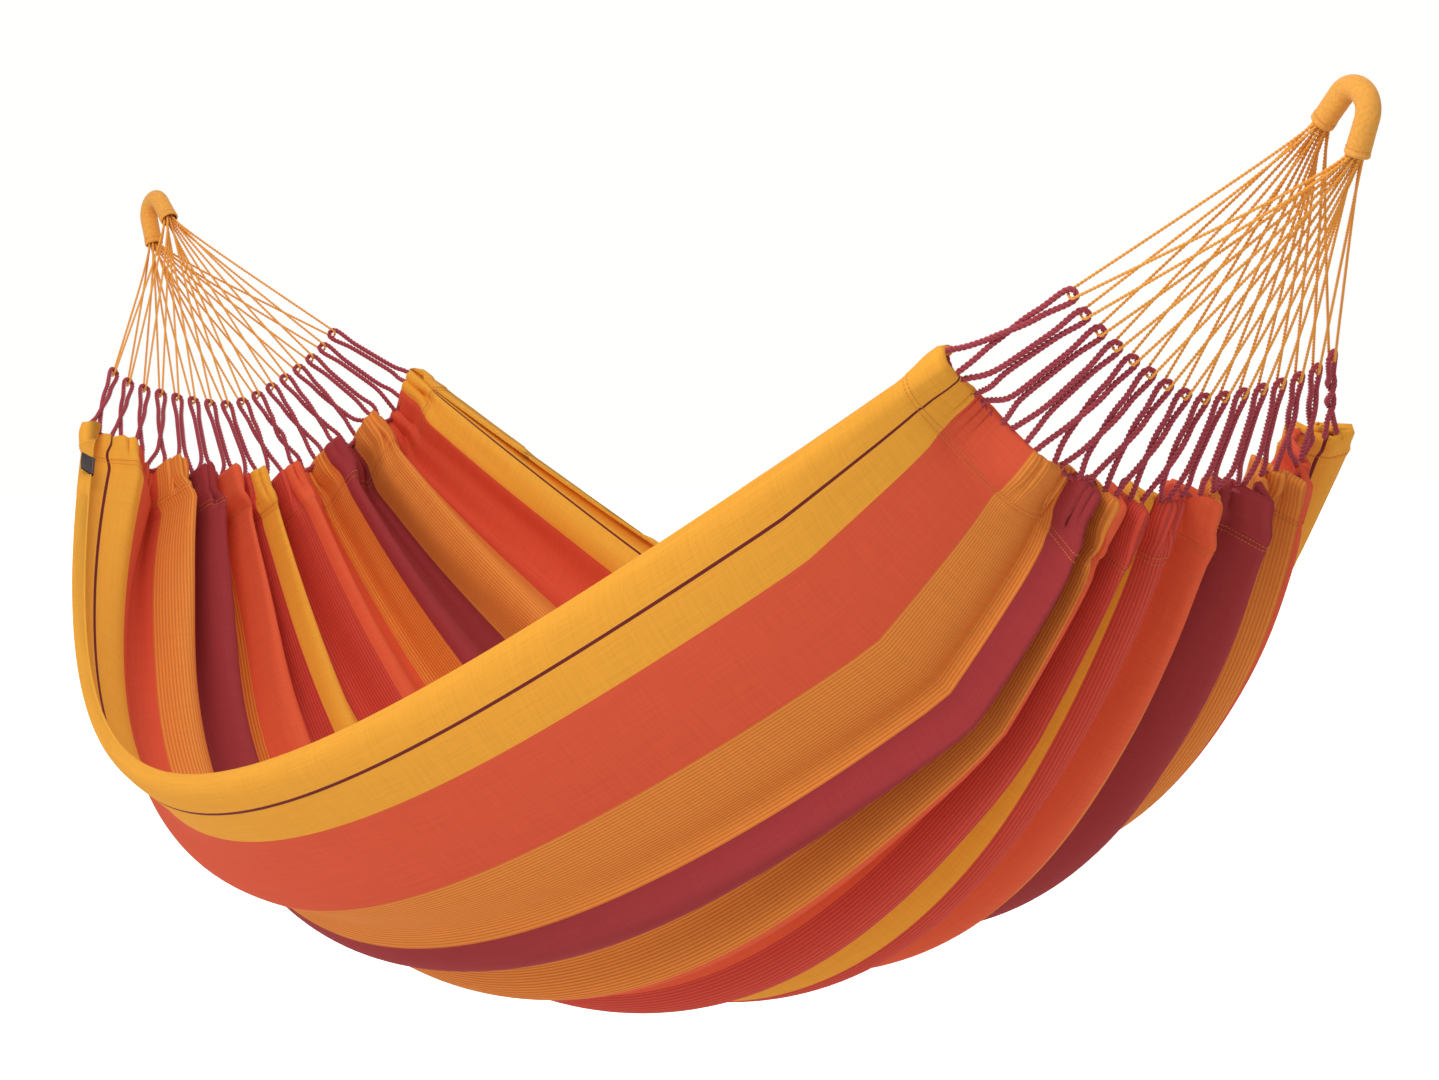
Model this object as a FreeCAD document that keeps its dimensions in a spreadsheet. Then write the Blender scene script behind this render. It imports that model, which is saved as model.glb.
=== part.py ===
import FreeCAD, Part
import math
import os
import Sketcher
from FreeCAD import Placement, Rotation, Vector

# Rope hammock: one striped cotton bed hung by a fan of cords from an eye at
# each end.  Units are millimetres, +Z is up, the origin is where the left eye
# bears on its hook, +X runs along the hang line to the right eye's hook and
# -Y is the side the bed opens towards.

doc = FreeCAD.newDocument("rope_hammock")
sheet = doc.addObject("Spreadsheet::Sheet", "dims")

DIMENSIONS = [
    ("hang_span", 2700.0, "hook to hook, inside the crowns of the two eyes"),
    ("hem_inset", 334.0, "along X from a hook to the plane of that end's hem"),
    ("hem_half_width", 275.0, "centre line to bed corner, across the hem"),
    ("hem_edge_drop", 292.0, "hooks down to the bed's corners"),
    ("hem_middle_drop", 424.0, "hooks down to the middle of the hem"),
    ("hem_tilt", 40.0, "a corner's rise or fall from the bed being hung askew"),
    ("bed_half_opening", 650.0, "centre line to long edge at mid length"),
    ("edge_sag", 460.0, "fall of the long edges from corner to mid length"),
    ("middle_sag", 644.0, "fall of the centre line from hem to mid length"),
    ("edge_roundness", 0.66, "how round the edge's sag is, of the half span"),
    ("middle_square_share", 0.73, "share of the square law in the middle's sag"),
    ("bed_lean", 23.0, "lean of the cloth at its long edge at mid length, deg"),
    ("bed_edge_pull", 64.0, "reach of that lean into the section"),
    ("bed_floor_pull", 332.0, "half width of the flat floor of the section"),
    ("hem_lean", 20.0, "lean of the cloth at the corners of the hem, deg"),
    ("hem_edge_pull", 44.0, "reach of that lean into the hem"),
    ("hem_floor_pull", 88.0, "half width of the flat floor of the hem"),
    ("cloth_thickness", 2.0, "woven cotton with its give"),
    ("header_cord_dia", 8.0, "cord the hem is gathered on"),
    ("loop_count", 16.0, "thick loops out of each hem"),
    ("loop_cord_dia", 6.0, "one leg of a thick loop"),
    ("loop_length", 150.0, "header cord to the inside of a loop's tip"),
    ("loop_foot_spread", 29.0, "between the two legs of a loop at the hem"),
    ("fan_cord_dia", 3.0, "the thin suspension cord"),
    ("clearance", 0.3, "air between neighbouring cords"),
    ("tip_ease", 1.27, "slack of the turn where fan and loop are linked"),
    ("eye_outer_dia", 28.0, "sleeve of an eye, outside"),
    ("eye_core_dia", 15.4, "bundle of cord inside the sleeve"),
    ("eye_sleeve_gap", 0.4, "air between bundle and sleeve"),
    ("eye_bend", 24.0, "bend of an eye to the middle of the bundle"),
    ("eye_splay", 12.0, "outward lean of each leg of an eye, deg"),
    ("eye_leg", 40.0, "straight leg of an eye"),
    ("eye_lean", 35.0, "lean of an eye along the pull of its cords, deg"),
    ("label_length", 46.0, "label along the edge"),
    ("label_reach", 18.0, "label out from the edge"),
    ("label_thickness", 1.2, "label, folded double"),
    ("label_start", 75.0, "along X from the left hem plane to the label"),
]

for row, (alias, value, note) in enumerate(DIMENSIONS, start=1):
    sheet.set("A%d" % row, alias)
    sheet.set("B%d" % row, repr(value))
    sheet.set("C%d" % row, note)
    sheet.setAlias("B%d" % row, alias)
doc.recompute()


def size(alias):
    """Read one driving dimension back from the sheet."""
    return float(sheet.get(alias))


SPAN = size("hang_span")
HALF_SPAN = SPAN / 2.0
LEFT, RIGHT = -1, 1
NEAR, FAR = -1, 1


# ---------------------------------------------------------------- the bed

def sag_of_edge(u):
    """1 at mid length and 0 at the hems: a long edge hangs as a round V."""
    soft = size("edge_roundness")
    rise = math.sqrt(u * u + soft * soft) - soft
    return 1.0 - rise / (math.sqrt(1.0 + soft * soft) - soft)


def sag_of_middle(u):
    """1 at mid length and 0 at the hems: the centre line hangs flatter."""
    square = size("middle_square_share")
    return 1.0 - square * u ** 2 - (1.0 - square) * u ** 4


def half_section(u, side):
    """Bezier poles, edge to centre, of the bed's section at u in -1..1."""
    full = 1.0 - abs(u) ** 3

    def between(hem, middle):
        return hem + (middle - hem) * full

    x = HALF_SPAN + u * (HALF_SPAN - size("hem_inset"))
    open_at = size("hem_half_width")
    open_at += (size("bed_half_opening") - open_at) * sag_of_edge(u)
    edge_z = -size("hem_edge_drop") - size("edge_sag") * sag_of_edge(u)
    edge_z -= side * u * size("hem_tilt")
    floor_z = -size("hem_middle_drop") - size("middle_sag") * sag_of_middle(u)
    lean = math.radians(between(size("hem_lean"), size("bed_lean")))
    pull = between(size("hem_edge_pull"), size("bed_edge_pull"))
    flat = between(size("hem_floor_pull"), size("bed_floor_pull"))
    edge = Vector(x, side * open_at, edge_z)
    floor = Vector(x, 0.0, floor_z)
    return [
        edge,
        edge + Vector(0, side * math.sin(lean), -math.cos(lean)) * pull,
        floor + Vector(0, side * flat, 0),
        floor,
    ]


def bezier(poles, w):
    """Point and direction at w of a four-pole Bezier."""
    a, b, c, d = poles
    v = 1.0 - w
    point = a * v ** 3 + b * (3 * w * v * v) + c * (3 * w * w * v) + d * w ** 3
    along = (b - a) * (v * v) + (c - b) * (2 * w * v) + (d - c) * (w * w)
    return point, along.normalize()


HALF_STEPS = 10


def section_points(u):
    """Points and directions across the whole bed, near edge to far edge."""
    out = []
    for step in range(HALF_STEPS + 1):
        out.append(bezier(half_section(u, NEAR), step / HALF_STEPS))
    for step in range(HALF_STEPS - 1, -1, -1):
        point, along = bezier(half_section(u, FAR), step / HALF_STEPS)
        out.append((point, along * -1.0))
    return out


def spline(points):
    """One smooth edge through the points."""
    curve = Part.BSplineCurve()
    curve.interpolate(points)
    return curve.toShape()


def cloth_wire(u):
    """Closed thin outline of the cloth's section at u."""
    half = size("cloth_thickness") / 2.0
    under, over = [], []
    for point, along in section_points(u):
        across = Vector(0, -along.z, along.y)
        under.append(point - across * half)
        over.append(point + across * half)
    over.reverse()
    edges = [spline(under), Part.makeLine(under[-1], over[0])]
    edges += [spline(over), Part.makeLine(over[-1], under[0])]
    return Part.Wire(edges)


BED_STATIONS = 13
stations = [2.0 * i / (BED_STATIONS - 1) - 1.0 for i in range(BED_STATIONS)]
bed = doc.addObject("Part::Feature", "bed_cloth")
bed.Label = "bed_cloth"
bed.Shape = Part.makeLoft([cloth_wire(u) for u in stations], True, False)


# ------------------------------------------------- hems and header cords

def header_points(end):
    """The header cord's line: the hem's section, just off the cloth's end."""
    off = size("header_cord_dia") / 2.0 + size("clearance")
    shift = Vector(end * off, 0, 0)
    return [point + shift for point, along in section_points(float(end))]


def header_edge(end):
    """The header cord's middle line as one smooth edge."""
    return spline(header_points(end))


END_NAMES = {LEFT: "left", RIGHT: "right"}

for end in (LEFT, RIGHT):
    spine = Part.Wire([header_edge(end)])
    first = spine.Edges[0]
    start = first.valueAt(first.FirstParameter)
    heading = first.tangentAt(first.FirstParameter)
    ring = Part.makeCircle(size("header_cord_dia") / 2.0, start, heading)
    cord = doc.addObject("Part::Feature", END_NAMES[end] + "_header_cord")
    cord.Label = END_NAMES[end] + "_header_cord"
    cord.Shape = spine.makePipeShell([Part.Wire([ring])], True, True)


# ------------------------------------------------------------- bent cords

def plane_of(body, role):
    """One of a body's own origin planes or axes."""
    for feature in body.Origin.OriginFeatures:
        if feature.Role == role:
            return feature
    raise RuntimeError("no " + role + " in " + body.Label)


def end_face(feature, side):
    """Name of the flat face a leg grows from, on the given side."""
    best, name = None, None
    for index, face in enumerate(feature.Shape.Faces, start=1):
        if not isinstance(face.Surface, Part.Plane):
            continue
        reach = side * face.CenterOfMass.x
        if best is None or reach > best:
            best, name = reach, "Face%d" % index
    return name


def bight(label, dia, bend, splay, leg, bore=None):
    """A cord bent over its own crown: an arc and two straight legs.

    Each size is an expression on the sheet, and leg holds the -X leg's and
    the +X leg's.  The arc's middle is the body's origin, the crown is up its
    Z and the legs lie in its XZ plane.
    """
    body = doc.addObject("PartDesign::Body", label)
    body.Label = label
    profile = body.newObject("Sketcher::SketchObject", label + "_round")
    profile.AttachmentSupport = [(plane_of(body, "YZ_Plane"), "")]
    profile.MapMode = "FlatFace"
    diameters = [dia] if bore is None else [dia, bore]
    for index, diameter in enumerate(diameters):
        circle = Part.Circle(Vector(0, 20, 0), Vector(0, 0, 1), 3.0 - index)
        at = profile.addGeometry(circle, False)
        wide = Sketcher.Constraint("Diameter", at, 6.0 - 2 * index)
        name = profile.addConstraint(wide)
        profile.setExpression("Constraints[%d]" % name, diameter)
        on_axis = Sketcher.Constraint("DistanceX", -1, 1, at, 3, 0.0)
        profile.addConstraint(on_axis)
        height = Sketcher.Constraint("DistanceY", -1, 1, at, 3, 20.0)
        name = profile.addConstraint(height)
        profile.setExpression("Constraints[%d]" % name, bend)
    crown = body.newObject("PartDesign::Revolution", label + "_crown")
    crown.Profile = profile
    crown.ReferenceAxis = (plane_of(body, "Y_Axis"), [""])
    crown.Midplane = True
    crown.setExpression("Angle", "180 - 2 * (" + splay + ")")
    doc.recompute()
    for side, length in zip((LEFT, RIGHT), leg):
        which = "a" if side == LEFT else "b"
        grown = body.newObject("PartDesign::Pad", label + "_leg_" + which)
        grown.Profile = (crown, [end_face(crown, side)])
        grown.setExpression("Length", length)
        doc.recompute()
    return body


# ------------------------------------------------------------------ eyes

EYE_SPLAY = math.radians(size("eye_splay"))


def eye_placement(end):
    """Where an eye's bend is centred and how it leans to its cords."""
    inside = size("eye_bend") - size("eye_outer_dia") / 2.0
    hook_x = HALF_SPAN + end * HALF_SPAN
    lean = Rotation(Vector(0, 1, 0), end * size("eye_lean"))
    return Placement(Vector(hook_x, 0, -inside), lean)


def eye_mouth(end, side):
    """Middle of a mouth of an eye's sleeve and the way it faces."""
    bend = size("eye_bend")
    leg = size("eye_leg")
    reach = bend * math.cos(EYE_SPLAY) + leg * math.sin(EYE_SPLAY)
    drop = leg * math.cos(EYE_SPLAY) - bend * math.sin(EYE_SPLAY)
    facing = Vector(side * math.sin(EYE_SPLAY), 0, -math.cos(EYE_SPLAY))
    place = eye_placement(end)
    mouth = place.multVec(Vector(side * reach, 0, -drop))
    return mouth, place.Rotation.multVec(facing)


for end in (LEFT, RIGHT):
    name = END_NAMES[end] + "_eye"
    domed = "dims.eye_leg + dims.eye_core_dia / 2"
    core = bight(name + "_core", "dims.eye_core_dia", "dims.eye_bend",
                 "dims.eye_splay", (domed, domed))
    tip = core.Tip
    rims = []
    for index, edge in enumerate(tip.Shape.Edges, start=1):
        if not isinstance(edge.Curve, Part.Circle) or not edge.isClosed():
            continue
        if edge.BoundBox.Center.z < -size("eye_leg") / 2.0:
            rims.append("Edge%d" % index)
    domes = core.newObject("PartDesign::Fillet", name + "_core_ends")
    domes.Base = (tip, rims)
    domes.setExpression("Radius", "dims.eye_core_dia / 2 - 0.05")
    core.Placement = eye_placement(end)
    sleeve = bight(name + "_sleeve", "dims.eye_outer_dia", "dims.eye_bend",
                   "dims.eye_splay", ("dims.eye_leg", "dims.eye_leg"),
                   bore="dims.eye_core_dia + 2 * dims.eye_sleeve_gap")
    sleeve.Placement = eye_placement(end)
    doc.recompute()


# ----------------------------------------------------------------- loops

LOOP_COUNT = int(size("loop_count"))
LOOP_R = size("loop_cord_dia") / 2.0
FAN_R = size("fan_cord_dia") / 2.0
# the loop's tip is just wide enough for the fan cord to pass through it
TIP_BEND = (LOOP_R + FAN_R + size("clearance")) * size("tip_ease")
HEADER_R = size("header_cord_dia") / 2.0


def loop_splay():
    """Angle of a leg so its foot lands half the foot spread off centre."""
    half = size("loop_foot_spread") / 2.0
    rise = size("loop_length") - LOOP_R
    far = math.hypot(half, rise)
    return math.atan2(half, rise) - math.asin(TIP_BEND / far)


LOOP_SPLAY = loop_splay()
derived = len(DIMENSIONS)


def keep(alias, value):
    """Put a size that follows from the others on the sheet as well."""
    global derived
    derived += 1
    sheet.set("A%d" % derived, alias)
    sheet.set("B%d" % derived, repr(value))
    sheet.setAlias("B%d" % derived, alias)


keep("loop_tip_bend", TIP_BEND)
keep("loop_splay", math.degrees(LOOP_SPLAY))


def neck(end):
    """Midway between the two mouths of an eye: where the fan gathers."""
    low, high = eye_mouth(end, RIGHT)[0], eye_mouth(end, LEFT)[0]
    return (low + high) * 0.5


def loop_frame(end, index):
    """Middle of a loop's bend, direction of pull and direction of spread."""
    edge = header_edge(end)
    whole = edge.Length
    at = edge.getParameterByLength(whole * (index + 0.5) / LOOP_COUNT)
    foot = edge.valueAt(at)
    along = edge.tangentAt(at)
    pull = (neck(end) - foot).normalize()
    along = (along - pull * along.dot(pull)).normalize()
    rise = HEADER_R + size("clearance") + size("loop_length") - LOOP_R
    return foot + pull * rise, pull, along


def leg_length(end, index, side):
    """Length of one leg that stops just short of the header cord."""
    centre, pull, along = loop_frame(end, index)
    sine, cosine = math.sin(LOOP_SPLAY), math.cos(LOOP_SPLAY)
    heading = along * (side * sine) - pull * cosine
    top = centre + (along * (side * cosine) + pull * sine) * TIP_BEND
    line = Part.makeLine(top, top + heading * (size("loop_length") * 1.5))
    header = header_edge(end)
    meet, on_header = line.distToShape(header)[1][0]
    header_way = header.tangentAt(header.Curve.parameter(on_header))
    slant = abs(heading.dot(header_way))
    stop = HEADER_R + size("clearance") + LOOP_R * slant
    return (meet - top).Length - stop / math.sqrt(1.0 - slant * slant)


for end in (LEFT, RIGHT):
    for index in range(LOOP_COUNT):
        name = "%s_loop_%02d" % (END_NAMES[end], index + 1)
        legs = []
        for side, which in ((LEFT, "a"), (RIGHT, "b")):
            alias = name + "_leg_" + which
            keep(alias, leg_length(end, index, side))
            legs.append("dims." + alias)
        loop = bight(name, "dims.loop_cord_dia", "dims.loop_tip_bend",
                     "dims.loop_splay", legs)
        centre, pull, along = loop_frame(end, index)
        turned = Rotation(along, pull.cross(along), pull, "ZXY")
        loop.Placement = Placement(centre, turned)


# ------------------------------------------------------ the fans of cord

def packed_spots(count, pitch):
    """The tightest hexagonal bunch of spots about the middle."""
    spots = []
    for row in range(-4, 5):
        for column in range(-4, 5):
            across = (column + (row % 2) / 2.0) * pitch
            spots.append((across, row * pitch * math.sqrt(3.0) / 2.0))
    spots.sort(key=lambda s: (round(math.hypot(s[0], s[1]), 3), s[0], s[1]))
    return spots[:count]


def fan_starts(end, side):
    """Where the fan's cords leave one mouth, in the order of the loops."""
    mouth, facing = eye_mouth(end, side)
    off = size("eye_core_dia") / 2.0 + size("clearance") + FAN_R / 2.0
    middle = mouth + facing * off
    across = Vector(0, 1, 0)
    up = facing.cross(across) * -end
    pitch = size("fan_cord_dia") + 2.0 * size("clearance")
    spots = packed_spots(LOOP_COUNT, pitch)
    # the loops fall from a corner of the hem to its middle and rise again
    spots.sort(key=lambda s: (round(s[1], 3), s[0] if s[1] > 0 else -s[0]))
    return [middle + across * s[1] + up * s[0] for s in spots]


def fan_cord(end, index, starts):
    """One cord: mouth to loop tip, round the loop and back to a mouth."""
    centre, pull, along = loop_frame(end, index)
    hub = centre + pull * TIP_BEND
    first, last = starts[LEFT][index], starts[RIGHT][index]
    normal = (first - hub).cross(last - hub).normalize()
    touch = {}
    for key, start, turn in (("a", first, 1), ("b", last, -1)):
        away = start - hub
        reach = away.Length
        outward = normal.cross(away).normalize() * -turn
        lean = TIP_BEND / reach
        ray = away.normalize() * lean + outward * math.sqrt(1 - lean * lean)
        touch[key] = hub + ray * TIP_BEND
    bottom = hub - ((first - hub).normalize()
                    + (last - hub).normalize()).normalize() * TIP_BEND
    path = Part.Wire([
        Part.makeLine(first, touch["a"]),
        Part.Arc(touch["a"], bottom, touch["b"]).toShape(),
        Part.makeLine(touch["b"], last),
    ])
    ring = Part.makeCircle(FAN_R, first, touch["a"] - first)
    return path.makePipeShell([Part.Wire([ring])], True, True)


for end in (LEFT, RIGHT):
    starts = {side: fan_starts(end, side) for side in (LEFT, RIGHT)}
    name = END_NAMES[end] + "_suspension_cord"
    fan = doc.addObject("Part::Feature", name)
    fan.Label = name
    fan.Shape = Part.makeCompound(
        [fan_cord(end, index, starts) for index in range(LOOP_COUNT)])


# ----------------------------------------------------------------- label

label = doc.addObject("PartDesign::Body", "edge_label")
label.Label = "edge_label"
outline = label.newObject("Sketcher::SketchObject", "edge_label_outline")
outline.AttachmentSupport = [(plane_of(label, "XY_Plane"), "")]
outline.MapMode = "FlatFace"
CORNERS = [(0, 0), (40, 0), (40, 20), (0, 20)]
for index, corner in enumerate(CORNERS):
    onward = CORNERS[(index + 1) % 4]
    side = Part.LineSegment(Vector(*corner, 0), Vector(*onward, 0))
    outline.addGeometry(side, False)
for index in range(4):
    join = Sketcher.Constraint("Coincident", index, 2, (index + 1) % 4, 1)
    outline.addConstraint(join)
for index in (0, 2):
    outline.addConstraint(Sketcher.Constraint("Horizontal", index))
for index in (1, 3):
    outline.addConstraint(Sketcher.Constraint("Vertical", index))
outline.addConstraint(Sketcher.Constraint("Coincident", 0, 1, -1, 1))
wide = outline.addConstraint(Sketcher.Constraint("DistanceX", 0, 1, 0, 2, 40))
outline.setExpression("Constraints[%d]" % wide, "dims.label_length")
tall = outline.addConstraint(Sketcher.Constraint("DistanceY", 1, 1, 1, 2, 20))
outline.setExpression("Constraints[%d]" % tall, "dims.label_reach")
tab = label.newObject("PartDesign::Pad", "edge_label_tab")
tab.Profile = outline
tab.Midplane = True
tab.setExpression("Length", "dims.label_thickness")


def edge_at(x):
    """Point on the near long edge at x, its heading and the cloth's fall."""
    u = (x - HALF_SPAN) / (HALF_SPAN - size("hem_inset"))
    step = 0.001
    poles = half_section(u, NEAR)
    onward = half_section(u + step, NEAR)[0] - poles[0]
    return poles[0], onward.normalize(), bezier(poles, 0.0)[1]


tag_x = size("hem_inset") + size("label_start")
corner, heading, fall = edge_at(tag_x)
far_corner = edge_at(tag_x + size("label_length") * heading.x)[0]
heading = (far_corner - corner).normalize()
outward = (heading.cross(fall)).cross(heading).normalize() * -1.0
turned = Rotation(heading, outward, heading.cross(outward), "XYZ")
label.Placement = Placement(corner + outward * size("clearance"), turned)


# The bed swings about the line along X through the upper mouth of each eye.
for end in (LEFT, RIGHT):
    for side in (LEFT, RIGHT):
        mouth, facing = eye_mouth(end, side)
        print("mouth", END_NAMES[end], side, mouth)

# ------------------------------------------------------ checks and files

doc.recompute()
parts = []
for thing in doc.Objects:
    for state in thing.State:
        if state in ("Invalid", "Error"):
            raise RuntimeError(thing.Label + " is " + state)
    if thing.TypeId == "PartDesign::Body":
        parts.append(thing)
    elif thing.TypeId == "Part::Feature":
        parts.append(thing)

for thing in parts:
    if thing.Shape.isNull() or not thing.Shape.isValid():
        raise RuntimeError("bad shape in " + thing.Label)
    if not thing.Shape.Solids:
        raise RuntimeError("no solid in " + thing.Label)

os.makedirs("parts", exist_ok=True)
for thing in parts:
    thing.Shape.exportStep("parts/" + thing.Label + ".step")
    print(thing.Label, len(thing.Shape.Solids), round(thing.Shape.Volume))
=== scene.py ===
import math

import bpy
import numpy as np
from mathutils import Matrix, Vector


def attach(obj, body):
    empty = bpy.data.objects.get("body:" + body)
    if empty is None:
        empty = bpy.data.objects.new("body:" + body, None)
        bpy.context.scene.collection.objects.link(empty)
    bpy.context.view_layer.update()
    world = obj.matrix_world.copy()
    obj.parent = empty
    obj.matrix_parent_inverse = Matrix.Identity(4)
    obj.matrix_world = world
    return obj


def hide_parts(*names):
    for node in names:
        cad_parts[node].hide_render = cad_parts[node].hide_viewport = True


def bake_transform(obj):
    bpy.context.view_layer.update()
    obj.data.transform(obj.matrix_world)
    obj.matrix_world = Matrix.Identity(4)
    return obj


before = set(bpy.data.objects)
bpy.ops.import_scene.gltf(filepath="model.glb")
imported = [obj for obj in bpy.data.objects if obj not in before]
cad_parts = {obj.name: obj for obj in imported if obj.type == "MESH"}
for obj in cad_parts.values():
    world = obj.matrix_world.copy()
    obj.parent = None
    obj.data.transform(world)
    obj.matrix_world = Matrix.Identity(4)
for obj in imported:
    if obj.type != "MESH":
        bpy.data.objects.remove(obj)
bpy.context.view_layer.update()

bl_info = {
    "name": "Rope hammock",
    "version": (1, 0, 0),
    "blender": (4, 5, 0),
    "location": "View3D > Sidebar > Hammock",
    "description": "Striped cotton hammock on cord loops and sleeved eyes",
    "category": "Object",
}

# Sizes are metres in the part's own frame: origin in the left eye's crown,
# +X to the right eye, +Z up, -Y to the near long edge.
EYES, BED = "hung_eyes", "hung_bed"
LEFT, RIGHT = -1, 1
NEAR, FAR = -1, 1
END_NAMES = {LEFT: "left", RIGHT: "right"}

SPAN = 2.7
HALF_SPAN = SPAN / 2.0
HEM_INSET = 0.334
HEM_HALF_WIDTH = 0.275
HEM_EDGE_DROP = 0.292
HEM_MIDDLE_DROP = 0.424
HEM_TILT = 0.040
BED_HALF_OPENING = 0.650
EDGE_SAG = 0.460
MIDDLE_SAG = 0.644
EDGE_ROUNDNESS = 0.66
MIDDLE_SQUARE = 0.73
BED_LEAN, HEM_LEAN = math.radians(23.0), math.radians(20.0)
BED_PULLS = (0.064, 0.332)
HEM_PULLS = (0.044, 0.088)

CLOTH_HALF = 0.80
CLOTH_LENGTH = 2.40
HEADER_R = 0.004
LOOP_R = 0.003
FAN_R = 0.0015
LOOP_COUNT = 16
LOOP_LENGTH = 0.150
FOOT_SPREAD = 0.029
CLEAR = 0.0003
HEM_DEPTH = 0.040
LABEL_LENGTH = 0.046
LABEL_REACH = 0.017
TIP_BEND = (LOOP_R + FAN_R + CLEAR) * 1.27

EYE_BEND = 0.024
EYE_R = 0.014
EYE_CORE_R = 0.0077
EYE_LEG = 0.040
EYE_SPLAY = math.radians(12.0)
EYE_LEAN = math.radians(35.0)


# ---- helpers

def linear(code):
    """sRGB hex to the linear colour a shader wants."""
    out = []
    for at in (1, 3, 5):
        c = int(code[at:at + 2], 16) / 255.0
        out.append(c / 12.92 if c <= 0.04045 else ((c + 0.055) / 1.055) ** 2.4)
    return (*out, 1.0)


def unit(v):
    """Vectors along the last axis, made one long."""
    v = np.asarray(v, float)
    return v / np.maximum(np.linalg.norm(v, axis=-1, keepdims=True), 1e-12)


def smooth(x, low, high):
    """0 below low, 1 above high and an easy curve between."""
    t = np.clip((np.asarray(x, float) - low) / (high - low), 0.0, 1.0)
    return t * t * (3.0 - 2.0 * t)


def mesh_object(name, verts, faces, material, uv=None):
    """A plain mesh object at the origin, smooth shaded."""
    mesh = bpy.data.meshes.new(name)
    faces = faces.tolist() if hasattr(faces, "tolist") else faces
    mesh.from_pydata([tuple(v) for v in verts], [], faces)
    if uv is not None:
        layer = mesh.uv_layers.new(name="cloth")
        corners = np.empty(len(mesh.loops), dtype=np.int32)
        mesh.loops.foreach_get("vertex_index", corners)
        flat = np.asarray(uv, dtype=np.float32)[corners].ravel()
        layer.data.foreach_set("uv", flat)
    mesh.polygons.foreach_set("use_smooth", np.ones(len(faces), dtype=bool))
    mesh.materials.append(material)
    mesh.update()
    thing = bpy.data.objects.new(name, mesh)
    bpy.context.collection.objects.link(thing)
    return thing


def grid_faces(rows, columns, start=0, flip=False):
    """Quads of a rows by columns sheet of points."""
    at = start + np.arange(rows * columns).reshape(rows, columns)
    a, b = at[:-1, :-1].ravel(), at[:-1, 1:].ravel()
    c, d = at[1:, 1:].ravel(), at[1:, :-1].ravel()
    quad = np.stack([a, d, c, b] if flip else [a, b, c, d], 1)
    return quad


def sheet_solid(points, normals, above, below, uv):
    """Closed skin round a sheet of points, with its own two thicknesses."""
    rows, columns = points.shape[:2]
    top = (points + normals * above[..., None]).reshape(-1, 3)
    low = (points - normals * below[..., None]).reshape(-1, 3)
    count = rows * columns
    at = np.arange(count).reshape(rows, columns)
    rim = np.concatenate([at[0], at[1:, -1], at[-1, -2::-1], at[-2:0:-1, 0]])
    onward = np.roll(rim, -1)
    wall = np.stack([rim, rim + count, onward + count, onward], 1)
    faces = [grid_faces(rows, columns), grid_faces(rows, columns, count, True)]
    faces.append(wall)
    both = uv.reshape(-1, 2)
    return np.concatenate([top, low]), np.concatenate(faces), \
        np.concatenate([both, both])


def turning_frames(path):
    """Two cross directions at each point of a path, with no needless turn."""
    path = np.asarray(path, float)
    along = np.gradient(path, axis=0)
    along = unit(along)
    side = np.zeros_like(path)
    seed = np.array([0.0, 0.0, 1.0])
    if abs(along[0] @ seed) > 0.9:
        seed = np.array([0.0, 1.0, 0.0])
    now = seed
    for i, way in enumerate(along):
        now = now - way * (now @ way)
        now = now / np.linalg.norm(now)
        side[i] = now
    return along, side, np.cross(along, side)


def tube(path, radius, sides, frames=None, turn=0.0):
    """Points and faces of a closed tube along a path."""
    side, up = (frames or turning_frames(path))[1:]
    round_ = np.linspace(0, 2 * math.pi, sides, endpoint=False) + turn
    radius = np.broadcast_to(np.asarray(radius, float), (len(path),))
    ring = (np.cos(round_)[None, :, None] * side[:, None]
            + np.sin(round_)[None, :, None] * up[:, None])
    verts = path[:, None] + ring * radius[:, None, None]
    rows = len(path)
    at = np.arange(rows * sides).reshape(rows, sides)
    nxt = np.roll(at, -1, axis=1)
    faces = np.stack([at[:-1].ravel(), nxt[:-1].ravel(),
                      nxt[1:].ravel(), at[1:].ravel()], 1)
    caps = [list(at[0][::-1]), list(at[-1])]
    return verts.reshape(-1, 3), faces.tolist(), caps


def run_along(path):
    """Length of a path from its start to each of its points."""
    gaps = np.linalg.norm(np.diff(path, axis=0), axis=1)
    return np.concatenate([[0.0], np.cumsum(gaps)])


def resampled(path, step):
    """The same line with points one step apart."""
    path = np.asarray(path, float)
    run = run_along(path)
    count = max(4, int(round(run[-1] / step)) + 1)
    at = np.linspace(0, run[-1], count)
    return np.stack([np.interp(at, run, path[:, k]) for k in range(3)], 1)


def laid_cord(path, radius, pitch, plies, sides, turn=0.0):
    """Twisted plies along a path: real strands that wind round each other."""
    frames = turning_frames(path)
    side, up = frames[1:]
    run = run_along(path)
    verts, faces = [], []
    off, thick = radius * 0.46, radius * 0.56
    if plies == 3:
        off, thick = radius * 0.50, radius * 0.50
    for ply in range(plies):
        angle = 2 * math.pi * (run / pitch + ply / plies) + turn
        line = path + off * (np.cos(angle)[:, None] * side
                             + np.sin(angle)[:, None] * up)
        v, f, caps = tube(line, thick, sides, frames)
        base = sum(len(part) for part in verts)
        faces += [[base + i for i in face] for face in f + caps]
        verts.append(v)
    return np.concatenate(verts), faces


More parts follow.
